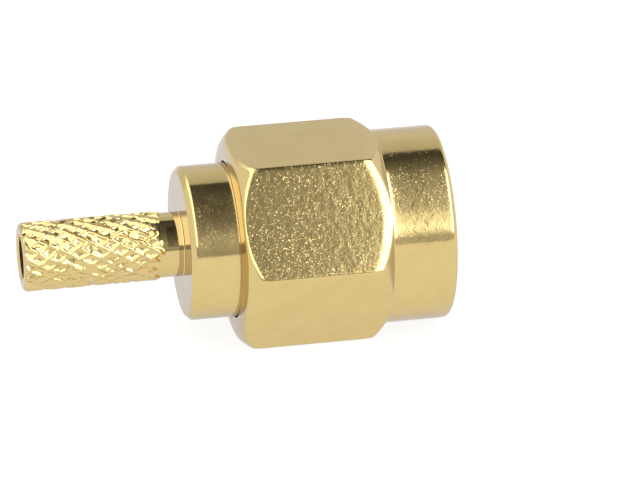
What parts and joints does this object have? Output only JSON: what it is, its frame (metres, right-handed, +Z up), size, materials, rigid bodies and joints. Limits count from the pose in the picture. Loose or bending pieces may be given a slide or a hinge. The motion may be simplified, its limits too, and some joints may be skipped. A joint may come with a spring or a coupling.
{
  "type": "sma connector",
  "caption": "Straight coaxial plug with a hexagonal coupling nut, centre pin and knurled crimp stem for thin cable, gold-plated.",
  "frame": {"origin": "on the connector's axis, in the mating reference plane, which is the front end of the outer contact", "axes": "+X along the axis in the mating direction, with the cable entering from -X; +Z up, square to the two level flats of the coupling nut, which lies on the lower one"},
  "size_m": [0.0172, 0.0092, 0.008],
  "materials": {
    "gold_plate": "pale gold plating with fine pits, half bright",
    "spring_bronze": "bare spring bronze, satin",
    "silicone": "matt silicone rubber",
    "ptfe": "waxy white fluoropolymer"
  },
  "bodies": {
    "plug": {"body": "gold_plate", "gasket": "silicone", "insulator": "ptfe", "centre_contact": "gold_plate"},
    "ring": {"snap_ring": "spring_bronze"},
    "nut": {"coupling_nut": "gold_plate"}
  },
  "joints": [
    {"name": "nut_float", "type": "slide", "parent": "plug", "child": "ring", "axis": [1, 0, 0], "range_m": [-0.0001, 0.0001]},
    {"name": "nut_spin", "type": "hinge", "parent": "ring", "child": "nut", "pos_m": [0, 0, 0], "axis": [1, 0, 0], "continuous": true}
  ]
}
